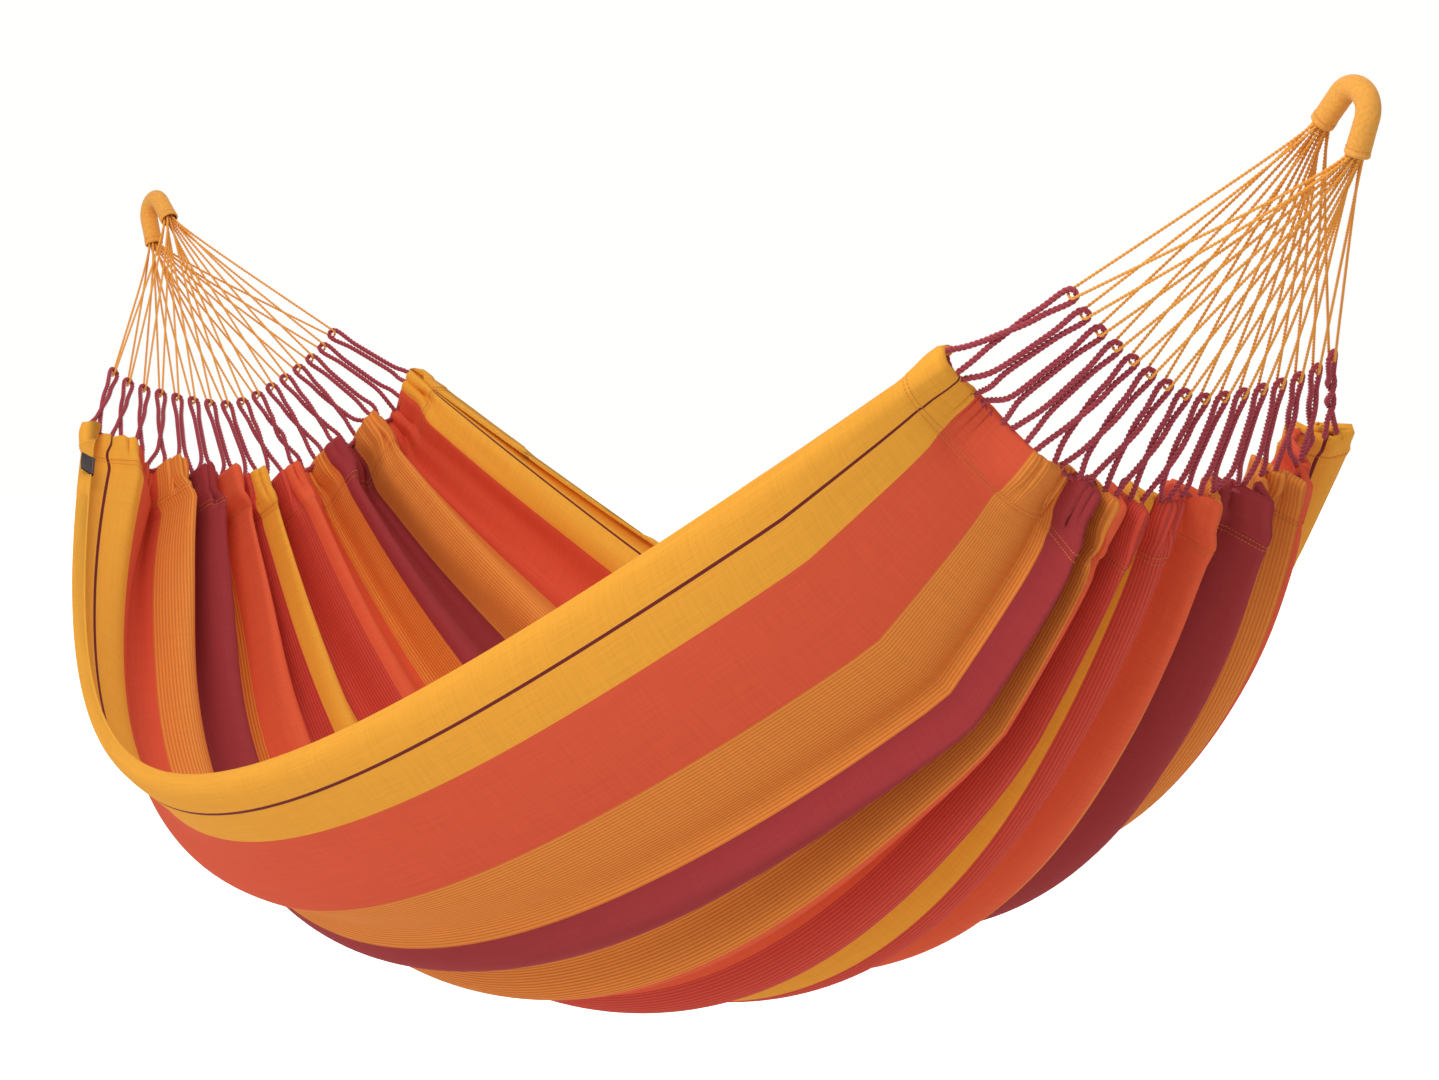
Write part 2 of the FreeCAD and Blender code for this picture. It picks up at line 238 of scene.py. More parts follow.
def route_points(control, step):
    """Points read from the smooth spline of a cord's route."""
    curve = bpy.data.curves.new("route", "CURVE")
    curve.dimensions = "3D"
    spline = curve.splines.new("NURBS")
    spline.points.add(len(control) - 1)
    for point, at in zip(spline.points, control):
        point.co = (*[float(c) for c in at], 1.0)
    spline.order_u = 3
    spline.use_endpoint_u = True
    spline.resolution_u = 10
    holder = bpy.data.objects.new("route", curve)
    bpy.context.collection.objects.link(holder)
    graph = bpy.context.evaluated_depsgraph_get()
    mesh = bpy.data.meshes.new_from_object(holder.evaluated_get(graph))
    points = np.empty(len(mesh.vertices) * 3)
    mesh.vertices.foreach_get("co", points)
    bpy.data.objects.remove(holder)
    bpy.data.curves.remove(curve)
    bpy.data.meshes.remove(mesh)
    return resampled(points.reshape(-1, 3), step)


# ---- materials

def add_node(tree, kind, inputs=None, **settings):
    """Add one node; an input given a socket is linked, a value is set."""
    node = tree.nodes.new(kind)
    for key, value in settings.items():
        setattr(node, key, value)
    for key, value in (inputs or {}).items():
        if isinstance(value, bpy.types.NodeSocket):
            tree.links.new(value, node.inputs[key])
        else:
            node.inputs[key].default_value = value
    return node


def blended(tree, factor, low, high):
    """Colour that goes from low to high with the factor."""
    return add_node(tree, "ShaderNodeMix", {0: factor, 6: low, 7: high},
                    data_type="RGBA").outputs[2]


def fresh_material(name, roughness, sheen):
    """A dielectric cloth shader with nothing yet on its colour."""
    material = bpy.data.materials.new(name)
    material.use_nodes = True
    tree = material.node_tree
    tree.nodes.clear()
    shader = add_node(tree, "ShaderNodeBsdfPrincipled", {
        "Roughness": roughness, "Sheen Weight": sheen,
        "Sheen Roughness": 0.5, "IOR": 1.45, "Specular IOR Level": 0.25})
    add_node(tree, "ShaderNodeOutputMaterial",
             {"Surface": shader.outputs[0]})
    return material, tree, shader


# Across the cloth, centre outwards: outer edge of the band in metres from
# the centre line, ground colour, colour of its fine warp lines or None.
BANDS = [
    (0.058, "#F4A93A", None),
    (0.136, "#DC4E39", "#A93A3C"),
    (0.230, "#E8603C", None),
    (0.300, "#F0903C", "#BF5F2B"),
    (0.425, "#9E3539", None),
    (0.550, "#F0933F", "#CB6A31"),
    (0.683, "#E25A3C", None),
    (0.801, "#F4A93A", None),
]
# real pairs of warp lines are about 3.6 mm apart; drawn coarser to show
WARP_LINE_PITCH = 0.0044
SINGLE_LINES = (0.0, 0.7415)
SINGLE_LINE_HALF = 0.0021


def ramp_of(tree, factor, colours):
    """Hard-edged bands of colour over the cloth's half width."""
    ramp = add_node(tree, "ShaderNodeValToRGB", {"Fac": factor})
    ramp.color_ramp.interpolation = "CONSTANT"
    marks = ramp.color_ramp.elements
    while len(marks) > 1:
        marks.remove(marks[-1])
    marks[0].position = 0.0
    marks[0].color = colours[0]
    for band, colour in zip(BANDS[:-1], colours[1:]):
        marks.new(band[0]).color = colour
    return ramp.outputs["Color"]


def striped_cotton():
    """Yarn-dyed plain weave: matt, soft, faintly streaked along the warp."""
    material, tree, shader = fresh_material(
        "yarn_dyed_striped_cotton", 0.88, 0.0)
    place = add_node(tree, "ShaderNodeUVMap", uv_map="cloth").outputs[0]
    split = add_node(tree, "ShaderNodeSeparateXYZ", {0: place})
    across, along = split.outputs[0], split.outputs[1]

    def calc(operation, a, b=0.0, c=0.0):
        return add_node(tree, "ShaderNodeMath", {0: a, 1: b, 2: c},
                        operation=operation).outputs[0]

    half = calc("ABSOLUTE", calc("SUBTRACT", across, CLOTH_HALF))
    ground = ramp_of(tree, half, [linear(band[1]) for band in BANDS])
    fine = ramp_of(tree, half, [linear(band[2] or band[1])
                               for band in BANDS])
    beat = calc("FRACT", calc("DIVIDE", half, WARP_LINE_PITCH))
    swing = calc("ABSOLUTE", calc("SUBTRACT", beat, 0.5))
    lines = add_node(tree, "ShaderNodeMapRange", {
        0: swing, 1: 0.20, 2: 0.32, 3: 0.0, 4: 0.62}).outputs[0]
    base = blended(tree, lines, ground, fine)
    single = None
    for middle in SINGLE_LINES:
        off = calc("ABSOLUTE", calc("SUBTRACT", half, middle))
        hit = calc("LESS_THAN", off, SINGLE_LINE_HALF)
        single = hit if single is None else calc("MAXIMUM", single, hit)
    base = blended(tree, single, base, linear("#6E2226"))
    # warp streaks are long and thin, weft slubs lie across them
    streaks = []
    for scale in ((520.0, 9.0, 1.0), (16.0, 380.0, 1.0)):
        stretched = add_node(tree, "ShaderNodeVectorMath",
                             {0: place, 1: scale}, operation="MULTIPLY")
        streaks.append(add_node(tree, "ShaderNodeTexNoise", {
            "Vector": stretched.outputs[0], "Scale": 1.0,
            "Detail": 3.0, "Roughness": 0.6}).outputs[0])
    mottle = calc("ADD", streaks[0], streaks[1])
    shade = add_node(tree, "ShaderNodeMapRange", {
        0: mottle, 1: 0.6, 2: 1.4, 3: 0.90, 4: 1.08}).outputs[0]
    tinted = add_node(tree, "ShaderNodeVectorMath", {0: base, 1: shade},
                      operation="MULTIPLY")
    tree.links.new(tinted.outputs[0], shader.inputs["Base Color"])
    # threads 1.6 mm apart, coarser than the real 0.7 mm so that they show
    ribs = []
    for axis in (across, along):
        turn = calc("MULTIPLY", axis, 2.0 * math.pi / 0.0016)
        ribs.append(calc("SINE", turn))
    weave = calc("MULTIPLY", ribs[0], ribs[1])
    height = calc("ADD", calc("MULTIPLY", weave, 0.35), mottle)
    bump = add_node(tree, "ShaderNodeBump", {
        "Height": height, "Strength": 0.35, "Distance": 0.0006})
    tree.links.new(bump.outputs[0], shader.inputs["Normal"])
    return material


def cord_material(name, code, dark, fuzz_scale, roughness=0.85, sheen=0.2):
    """Cotton yarn: matt, with a mottle of fibres from dark to its colour."""
    material, tree, shader = fresh_material(name, roughness, sheen)
    place = add_node(tree, "ShaderNodeTexCoord").outputs["Object"]
    fibres = add_node(tree, "ShaderNodeTexNoise", {
        "Vector": place, "Scale": fuzz_scale, "Detail": 4.0,
        "Roughness": 0.65}).outputs[0]
    spread = add_node(tree, "ShaderNodeMapRange",
                      {0: fibres, 1: 0.3, 2: 0.7, 3: 0.0, 4: 1.0}).outputs[0]
    mixed = blended(tree, spread, dark, code)
    tree.links.new(mixed, shader.inputs["Base Color"])
    bump = add_node(tree, "ShaderNodeBump", {
        "Height": fibres, "Strength": 0.4, "Distance": 0.0004})
    tree.links.new(bump.outputs[0], shader.inputs["Normal"])
    return material


def woven_band(name, code, dark, pitch, roughness=0.85):
    """Narrow woven sleeve or tape: a tight weave in its own UV map."""
    material, tree, shader = fresh_material(name, roughness, 0.15)
    place = add_node(tree, "ShaderNodeUVMap", uv_map="cloth").outputs[0]
    split = add_node(tree, "ShaderNodeSeparateXYZ", {0: place})
    waves = []
    for axis in (0, 1):
        turn = add_node(tree, "ShaderNodeMath", {
            0: split.outputs[axis], 1: 2 * math.pi / pitch},
            operation="MULTIPLY").outputs[0]
        waves.append(add_node(tree, "ShaderNodeMath", {0: turn},
                              operation="SINE").outputs[0])
    weave = add_node(tree, "ShaderNodeMath", {0: waves[0], 1: waves[1]},
                     operation="MULTIPLY").outputs[0]
    soft = add_node(tree, "ShaderNodeTexNoise", {
        "Vector": place, "Scale": 260.0, "Detail": 3.0}).outputs[0]
    total = add_node(tree, "ShaderNodeMath", {0: weave, 1: 0.16, 2: soft},
                     operation="MULTIPLY_ADD").outputs[0]
    factor = add_node(tree, "ShaderNodeMapRange",
                      {0: total, 1: 0.25, 2: 0.75, 3: 0.0, 4: 1.0}).outputs[0]
    mixed = blended(tree, factor, dark, code)
    tree.links.new(mixed, shader.inputs["Base Color"])
    bump = add_node(tree, "ShaderNodeBump", {
        "Height": total, "Strength": 0.45, "Distance": 0.0005})
    tree.links.new(bump.outputs[0], shader.inputs["Normal"])
    return material


# ---- the bed's shape

def sag_of_edge(u):
    rise = np.sqrt(u * u + EDGE_ROUNDNESS ** 2) - EDGE_ROUNDNESS
    return 1.0 - rise / (math.sqrt(1 + EDGE_ROUNDNESS ** 2) - EDGE_ROUNDNESS)


def sag_of_middle(u):
    return 1.0 - MIDDLE_SQUARE * u ** 2 - (1 - MIDDLE_SQUARE) * u ** 4


def half_section(u, side, steps):
    """Points from edge to centre of the bed's section at u in -1..1."""
    full = 1.0 - abs(u) ** 3
    x = HALF_SPAN + u * (HALF_SPAN - HEM_INSET)
    open_at = HEM_HALF_WIDTH
    open_at += (BED_HALF_OPENING - open_at) * sag_of_edge(u)
    edge_z = -HEM_EDGE_DROP - EDGE_SAG * sag_of_edge(u) - side * u * HEM_TILT
    floor_z = -HEM_MIDDLE_DROP - MIDDLE_SAG * sag_of_middle(u)
    lean = HEM_LEAN + (BED_LEAN - HEM_LEAN) * full
    pull = HEM_PULLS[0] + (BED_PULLS[0] - HEM_PULLS[0]) * full
    flat = HEM_PULLS[1] + (BED_PULLS[1] - HEM_PULLS[1]) * full
    a = np.array([x, side * open_at, edge_z])
    b = a + np.array([0, side * math.sin(lean), -math.cos(lean)]) * pull
    d = np.array([x, 0.0, floor_z])
    c = d + np.array([0, side * flat, 0])
    w = np.linspace(0, 1, steps)[:, None]
    v = 1 - w
    return a * v ** 3 + b * 3 * w * v * v + c * 3 * w * w * v + d * w ** 3


def section(u, steps=90):
    """The whole section near edge to far edge, and its arc from the centre."""
    near = half_section(u, NEAR, steps)
    far = half_section(u, FAR, steps)[::-1]
    line = np.concatenate([near, far[1:]])
    run = run_along(line)
    return line, run - run[steps - 1]


# Where the big pleats turn, near edge to far edge, in metres across the
# cloth from its centre line: the gold and coral beside the near edge of the
# right end lie flat, and everything else is folded.
PLEATS = {
    LEFT: [-0.86, -0.70, -0.585, -0.50, -0.40, -0.335, -0.25, -0.17, -0.10,
           -0.03, 0.07, 0.15, 0.235, 0.32, 0.41, 0.50, 0.60, 0.72, 0.86],
    RIGHT: [-0.90, -0.66, -0.52, -0.45, -0.375, -0.30, -0.225, -0.16, -0.085,
            0.0, 0.085, 0.16, 0.235, 0.30, 0.39, 0.47, 0.56, 0.68, 0.86],
}
CLOTH_COLUMNS = 400
CREASE = 0.965


def pleat_phase(across, end):
    return np.interp(across, PLEATS[end], np.arange(len(PLEATS[end])))


def fold_wave(across, u, d):
    """Unscaled slope of the folds d metres from a hem, and where they fade.

    The cloth beside the near corner of the right end hangs smooth, with
    no more than the fine ruching of its hem.
    """
    mix = smooth(u, -0.55, 0.55)
    phase = (1 - mix) * pleat_phase(across, LEFT)
    phase = phase + mix * pleat_phase(across, RIGHT)
    big = np.sin(math.pi * phase)
    calm = 1.0 - 0.985 * mix * smooth(-across, 0.40, 0.50)
    calm = calm * (1.0 - 0.55 * (1 - mix) * smooth(-across, 0.60, 0.72))
    wander = 0.9 * np.sin(across * 21.0 + 1.3) + 0.6 * np.sin(across * 47.0)
    mid = np.sin(2 * math.pi * across / 0.058 + wander + 1.7 * u)
    tiny = np.sin(2 * math.pi * across / 0.0255 + 2.1 * wander)
    w_big = 0.62 + 0.38 * smooth(d, 0.0, 0.10)
    w_mid = 0.34 * (1 - smooth(d, 0.10, 0.42))
    w_tiny = 0.42 * (1 - smooth(d, 0.010, 0.060))
    wave = w_big * big + w_mid * mid * calm + w_tiny * tiny
    return wave, 1.0 - (1.0 - calm) * (0.6 + 0.4 * smooth(d, 0.01, 0.06))


def folded_half(wave, calm, ds, target):
    """Slopes that shorten half a width of cloth to the target length."""
    low, high = 0.0, 14.0
    for _ in range(26):
        k = 0.5 * (low + high)
        slope = CREASE * calm * np.tanh(k * wave)
        reach = np.sum(np.sqrt(1 - slope ** 2)) * ds
        if reach > target:
            low = k
        else:
            high = k
    return slope


def cloth_grid():
    """Points of the pleated bed, hem to hem, with its cloth coordinates."""
    fine = np.array([-0.0095, -0.0086, -0.0066, -0.0043, -0.002, 0.0005,
                     0.003, 0.007, 0.012, 0.018, 0.025, 0.032, 0.0375, 0.040,
                     0.0425, 0.048, 0.056, 0.066, 0.078, 0.092, 0.108, 0.126])
    reach = 1.27 * (HALF_SPAN - HEM_INSET)
    open_run = np.linspace(0.126, reach, 38)[1:]
    from_hem = np.concatenate([fine, open_run])
    u_half = -1.0 + from_hem / reach
    rows = np.concatenate([u_half, -u_half[-2::-1]])
    gap = np.concatenate([from_hem, from_hem[-2::-1]])
    across = np.linspace(-CLOTH_HALF, CLOTH_HALF, CLOTH_COLUMNS)
    ds = across[1] - across[0]
    half = CLOTH_COLUMNS // 2
    base = np.zeros((len(rows), CLOTH_COLUMNS, 3))
    lift = np.zeros((len(rows), CLOTH_COLUMNS))
    for i, (u, d) in enumerate(zip(rows, gap)):
        line, run = section(u)
        wave, calm = fold_wave(across, u, max(d, 0.0))
        slope = np.zeros(CLOTH_COLUMNS)
        for part, length in ((slice(0, half), -run[0]),
                             (slice(half, None), run[-1])):
            slope[part] = folded_half(wave[part], calm[part], ds,
                                      min(length, 0.797))
        ratio = np.sqrt(1 - slope ** 2)
        place = np.cumsum(ratio) * ds
        place -= 0.5 * (place[half - 1] + place[half])
        place[:half] *= run[0] / place[0]
        place[half:] *= run[-1] / place[-1]
        for k in range(3):
            base[i, :, k] = np.interp(place, run, line[:, k])
        fold = np.cumsum(slope) * ds
        drift = np.polyfit(across, fold, 5)
        lift[i] = fold - np.polyval(drift, across)
    du = np.gradient(base, axis=0)
    dv = np.gradient(base, axis=1)
    normal = unit(np.cross(dv, du))
    normal *= np.where(normal[..., 2:3] < 0, -1.0, 1.0)
    pin = smooth(CLOTH_HALF - np.abs(across), 0.0, 0.03)
    grid = base + normal * (lift * (0.35 + 0.65 * pin))[..., None]
    run_along = (rows + 1) * 0.5 * CLOTH_LENGTH
    uv = np.stack(np.broadcast_arrays(across[None] + CLOTH_HALF,
                                      run_along[:, None]), -1)
    return grid, gap, across, uv


def grid_normals(grid):
    normal = unit(np.cross(np.gradient(grid, axis=1),
                           np.gradient(grid, axis=0)))
    return normal


_cloth = {}


def cloth():
    """The bed's grid, worked out once."""
    if not _cloth:
        grid, gap, across, uv = cloth_grid()
        _cloth.update(grid=grid, gap=gap, across=across, uv=uv,
                      normals=grid_normals(grid))
    return _cloth


def hem_row(end, distance):
    """Row of the cloth's grid at a distance from an end's hem."""
    gap = cloth()["gap"]
    middle = len(gap) // 2
    rows = range(middle) if end == LEFT else range(len(gap) - 1, middle, -1)
    return min(rows, key=lambda r: abs(gap[r] - distance))


# ---- where the cords run

def header_line(end):
    line, run = section(float(end), 200)
    line = line + np.array([end * (HEADER_R + CLEAR), 0, 0])
    return line, run


def eye_centre(end):
    return np.array([HALF_SPAN + end * HALF_SPAN, 0, -(EYE_BEND - EYE_R)])


def eye_axes(end):
    """Across and up directions of an eye that leans along its cords."""
    c, s = math.cos(end * EYE_LEAN), math.sin(end * EYE_LEAN)
    return np.array([c, 0, -s]), np.array([s, 0, c])


def eye_mouth(end, side):
    across, up = eye_axes(end)
    reach = EYE_BEND * math.cos(EYE_SPLAY) + EYE_LEG * math.sin(EYE_SPLAY)
    drop = EYE_LEG * math.cos(EYE_SPLAY) - EYE_BEND * math.sin(EYE_SPLAY)
    mouth = eye_centre(end) + across * (side * reach) - up * drop
    facing = across * (side * math.sin(EYE_SPLAY)) - up * math.cos(EYE_SPLAY)
    return mouth, facing


def neck(end):
    return (eye_mouth(end, LEFT)[0] + eye_mouth(end, RIGHT)[0]) / 2


def loop_frame(end, index):
    """Middle of a loop's bend, direction of pull and direction of spread."""
    line, run = header_line(end)
    at = run[0] + (run[-1] - run[0]) * (index + 0.5) / LOOP_COUNT
    foot = np.array([np.interp(at, run, line[:, k]) for k in range(3)])
    ahead = np.array([np.interp(at + 0.002, run, line[:, k])
                      for k in range(3)])
    pull = unit(neck(end) - foot)
    along = ahead - foot
    along = unit(along - pull * (along @ pull))
    rise = HEADER_R + CLEAR + LOOP_LENGTH - LOOP_R
    return foot + pull * rise, pull, along


def packed_spots(count, pitch):
    spots = []
    for row in range(-4, 5):
        for column in range(-4, 5):
            across = (column + (row % 2) / 2.0) * pitch
            spots.append((across, row * pitch * math.sqrt(3.0) / 2.0))
    spots.sort(key=lambda s: (round(math.hypot(*s), 6), s[0], s[1]))
    return spots[:count]


def fan_starts(end, side, off, pitch):
    """Where the fan's cords leave one mouth, in the order of the loops."""
    mouth, facing = eye_mouth(end, side)
    middle = mouth + facing * off
    across = np.array([0, 1.0, 0])
    up = np.cross(facing, across) * -end
    spots = packed_spots(LOOP_COUNT, pitch)
    spots.sort(key=lambda s: (round(s[1], 6), s[0] if s[1] > 0 else -s[0]))
    return [middle + across * s[1] + up * s[0] for s in spots]


FAN_OFF = EYE_CORE_R + CLEAR + FAN_R / 2


def fan_route(end, index):
    """Control points and true length of one cord of a fan."""
    centre, pull = loop_frame(end, index)[:2]
    hub = centre + pull * TIP_BEND
    outer = {s: fan_starts(end, s, FAN_OFF, 0.0036)[index]
             for s in (LEFT, RIGHT)}
    inner = {s: fan_starts(end, s, -0.010, 0.0032)[index]
             for s in (LEFT, RIGHT)}
    first, last = outer[LEFT], outer[RIGHT]
    normal = unit(np.cross(first - hub, last - hub))
    middle = unit(unit(first - hub) + unit(last - hub))
    touch, corner = {}, {}
    for key, start, turn in ((LEFT, first, 1), (RIGHT, last, -1)):
        away = start - hub
        side = unit(np.cross(normal, away)) * -turn
        lean = TIP_BEND / np.linalg.norm(away)
        ray = unit(away) * lean + side * math.sqrt(1 - lean * lean)
        touch[key] = hub + ray * TIP_BEND
        corner[key] = touch[key] - middle * TIP_BEND
    control = [inner[LEFT], first, touch[LEFT], corner[LEFT],
               corner[RIGHT], touch[RIGHT], last, inner[RIGHT]]
    length = (np.linalg.norm(first - touch[LEFT])
              + np.linalg.norm(last - touch[RIGHT])
              + math.pi * TIP_BEND + 2 * (0.010 + FAN_OFF))
    return control, length


# ---- loops' shape

LOOP_TURNS = (1, 0, 1, 0, 0, 1, 0, 1, 1, 0, 1, 0, 1, 2, 0, 1)


def loop_control(end, index):
    """Control points up one leg, round the tip and down the other leg."""
    centre, pull, along = loop_frame(end, index)
    third = np.cross(pull, along)
    rise = HEADER_R + CLEAR + LOOP_LENGTH - LOOP_R
    foot = centre - pull * rise
    turns = LOOP_TURNS[(index * (5 if end == LEFT else 3)) % LOOP_COUNT]
    begin = 0.046 + 0.006 * math.sin(index * 2.1 + end)
    heights = np.concatenate([[0.0, 0.012, 0.028],
                              np.linspace(begin, 0.118,
                                          max(3, 6 * turns + 1))])
    spread = np.interp(heights, [0, 0.012, begin, 0.118],
                       [FOOT_SPREAD / 2, 0.0122, 0.0037, 0.0037])
    angle = math.pi * turns * np.clip((heights - begin) / (0.118 - begin),
                                      0, 1)
    wave = along[None] * np.cos(angle)[:, None]
    wave = wave + third[None] * np.sin(angle)[:, None]
    up_leg = foot + pull * heights[:, None] + wave * spread[:, None]
    down_leg = foot + pull * heights[:, None] - wave * spread[:, None]
    # both legs come out of the folded hem itself
    hem = cloth()["grid"][hem_row(end, -0.002)]
    for leg in (up_leg, down_leg):
        gap = np.linalg.norm(hem - leg[0], axis=1)
        rooted = hem[np.argmin(gap)]
        leg[1] += (rooted - leg[0]) * 0.7
        leg[0] = rooted
    flip = along * (1.0 if turns % 2 == 0 else -1.0)
    eye = []
    for h, r in ((0.130, 0.0052), (rise - 0.002, 0.0078),
                 (rise + TIP_BEND + 0.0012, 0.0052)):
        eye.append((foot + pull * h + flip * r, foot + pull * h - flip * r))
    return np.array([*up_leg, *[p for p, q in eye],
                     *[q for p, q in eye[::-1]], *down_leg[::-1]])


# ---- stitch machine

def stitch_tree():
    """Stitches laid end to end along every line of edges it is given."""
    tree = bpy.data.node_groups.new("running_stitch", "GeometryNodeTree")
    face = tree.interface
    face.new_socket("Geometry", in_out="INPUT",
                    socket_type="NodeSocketGeometry")
    for name, value in (("Stitch Spacing", 0.0042),
                        ("Stitch Length", 0.0033),
                        ("Thread Diameter", 0.0009)):
        item = face.new_socket(name, in_out="INPUT",
                               socket_type="NodeSocketFloat")
        item.default_value = value
    face.new_socket("Thread", in_out="INPUT",
                    socket_type="NodeSocketMaterial")
    face.new_socket("Geometry", in_out="OUTPUT",
                    socket_type="NodeSocketGeometry")
    given = add_node(tree, "NodeGroupInput").outputs
    line = add_node(tree, "GeometryNodeMeshToCurve",
                    {"Mesh": given["Geometry"]})
    spots = add_node(tree, "GeometryNodeCurveToPoints", {
        "Curve": line.outputs[0], "Length": given["Stitch Spacing"]},
        mode="LENGTH")
    ball = add_node(tree, "GeometryNodeMeshUVSphere",
                    {"Segments": 6, "Rings": 4, "Radius": 0.5})
    vary = add_node(tree, "FunctionNodeRandomValue",
                    {2: 0.88, 3: 1.08, "Seed": 7}, data_type="FLOAT")
    long = add_node(tree, "ShaderNodeMath", {
        0: given["Stitch Length"], 1: vary.outputs[1]}, operation="MULTIPLY")
    size = add_node(tree, "ShaderNodeCombineXYZ", {
        0: given["Thread Diameter"], 1: given["Thread Diameter"],
        2: long.outputs[0]})
    laid = add_node(tree, "GeometryNodeInstanceOnPoints", {
        "Points": spots.outputs["Points"], "Instance": ball.outputs["Mesh"],
        "Rotation": spots.outputs["Rotation"], "Scale": size.outputs[0]})
    real = add_node(tree, "GeometryNodeRealizeInstances",
                    {0: laid.outputs[0]})
    dyed = add_node(tree, "GeometryNodeSetMaterial", {
        "Geometry": real.outputs[0], "Material": given["Thread"]})
    add_node(tree, "NodeGroupOutput", {0: dyed.outputs[0]})
    return tree


def sewn(name, lines, thread, spacing, length, diameter):
    """Stitches along lines of points, as one plain mesh."""
    verts, edges = [], []
    for line in lines:
        base = len(verts)
        verts += [tuple(p) for p in line]
        edges += [(base + i, base + i + 1) for i in range(len(line) - 1)]
    guide = bpy.data.meshes.new(name + "_guide")
    guide.from_pydata(verts, edges, [])
    holder = bpy.data.objects.new(name + "_guide", guide)
    bpy.context.collection.objects.link(holder)
    tree = bpy.data.node_groups.get("running_stitch") or stitch_tree()
    work = holder.modifiers.new("stitches", "NODES")
    work.node_group = tree
    wanted = {"Stitch Spacing": spacing, "Stitch Length": length,
              "Thread Diameter": diameter, "Thread": thread}
    for item in tree.interface.items_tree:
        if item.in_out == "INPUT" and item.name in wanted:
            work[item.identifier] = wanted[item.name]
    graph = bpy.context.evaluated_depsgraph_get()
    mesh = bpy.data.meshes.new_from_object(holder.evaluated_get(graph))
    mesh.name = name
    bpy.data.objects.remove(holder)
    bpy.data.meshes.remove(guide)
    mesh.polygons.foreach_set("use_smooth", [True] * len(mesh.polygons))
    thing = bpy.data.objects.new(name, mesh)
    bpy.context.collection.objects.link(thing)
    return thing


# ---- eyes

def eye_path(end, step=0.0016):
    """Centre line of an eye from its left mouth over the bend to the right."""
    across, up = eye_axes(end)
    middle = eye_centre(end)
    points = []
    mouth, facing = eye_mouth(end, LEFT)
    for s in np.arange(0, EYE_LEG, step):
        points.append(mouth - facing * s)
    arc = np.linspace(math.pi - EYE_SPLAY, EYE_SPLAY,
                      int(EYE_BEND * 2.72 / step))
    for a in arc:
        points.append(middle + across * (EYE_BEND * math.cos(a))
                      + up * (EYE_BEND * math.sin(a)))
    mouth, facing = eye_mouth(end, RIGHT)
    for s in np.arange(0, EYE_LEG, step)[::-1]:
        points.append(mouth - facing * s)
    return np.array(points)


def eye_frames(path):
    """Y, and the direction out of the bend, at each point of an eye."""
    along = unit(np.gradient(path, axis=0))
    side = np.tile(np.array([0, 1.0, 0]), (len(path), 1))
    return along, side, np.cross(along, side)


def eye_bundle(end, material):
    """The bundle of cords inside the sleeve, from mouth to mouth."""
    path = eye_path(end)[4:-4]
    along, side, up = eye_frames(path)
    verts, faces = [], []
    for a, b in packed_spots(LOOP_COUNT, 0.0032):
        line = path + side * b + up * a
        v, f, caps = tube(line, 0.00158, 8, (along, side, up))
        base = sum(len(part) for part in verts)
        faces += [[base + i for i in face] for face in f + caps]
        verts.append(v)
    return mesh_object(END_NAMES[end] + "_eye_bundle",
                       np.concatenate(verts), faces, material)


def eye_sleeve(end, material):
    """Woven sleeve round the eye: creased inside the bend, hemmed mouths."""
    path = eye_path(end)
    side, up = eye_frames(path)[1:]
    run = run_along(path)
    total = run[-1]
    from_mouth = np.minimum(run, total - run)
    sides = 72
    angle = np.linspace(0, 2 * math.pi, sides, endpoint=False)
    out_of_bend = np.sin(angle)[None]
    lift = smooth(from_mouth, 0.020, 0.048)[:, None]
    creases = np.sin(2 * math.pi * run / 0.0092 + 0.7)[:, None]
    creases = creases * (0.6 + 0.4 * np.sin(run * 311.0))[:, None]
    inside = np.clip(-out_of_bend, 0, 1) ** 1.3 * lift
    soft = 0.014 * np.sin(3 * angle + 40 * run[:, None])
    soft = soft + 0.012 * np.sin(2 * angle + 1.0 - 95 * run[:, None])
    hem = 1.0 - smooth(from_mouth, 0.0055, 0.0075)
    seam = np.exp(-((from_mouth - 0.0068) / 0.0008) ** 2)
    scale = 0.955 + soft + 0.045 * creases * inside
    scale = scale + (0.035 * hem - 0.045 * seam)[:, None]
    outer = EYE_R * scale
    lip = 1.0 - 0.10 * np.exp(-(from_mouth / 0.0007) ** 2)
    outer = outer * lip[:, None]
    inner = np.minimum(outer - 0.0011, EYE_R * 0.90)
    ring = (np.cos(angle)[None, :, None] * side[:, None]
            + np.sin(angle)[None, :, None] * up[:, None])
    skin = path[:, None] + ring * outer[..., None]
    lining = path[:, None] + ring * inner[..., None]
    rows = np.concatenate([skin, lining[::-1]])
    count = len(rows)
    at = np.arange(count * sides).reshape(count, sides)
    down, turn = np.roll(at, -1, axis=0), np.roll(at, -1, axis=1)
    both = np.roll(down, -1, axis=1)
    faces = np.stack([at.ravel(), turn.ravel(), both.ravel(),
                      down.ravel()], 1)
    lengths = np.concatenate([run, run[::-1]])
    uv = np.stack(np.broadcast_arrays(
        (angle * EYE_R)[None], lengths[:, None]), -1).reshape(-1, 2)
    return mesh_object(END_NAMES[end] + "_sleeve", rows.reshape(-1, 3),
                       faces, material, uv)


def sleeve_stitch_lines(end):
    """A ring round the sleeve near each mouth."""
    lines = []
    path = eye_path(end)
    side, up = eye_frames(path)[1:]
    run = run_along(path)
    angle = np.linspace(0, 2 * math.pi, 49)
    for at in (0.0085, run[-1] - 0.0085):
        i = int(np.argmin(np.abs(run - at)))
        ring = (np.cos(angle)[:, None] * side[i]
                + np.sin(angle)[:, None] * up[i])
        lines.append(path[i] + ring * (EYE_R * 0.975))
    return lines


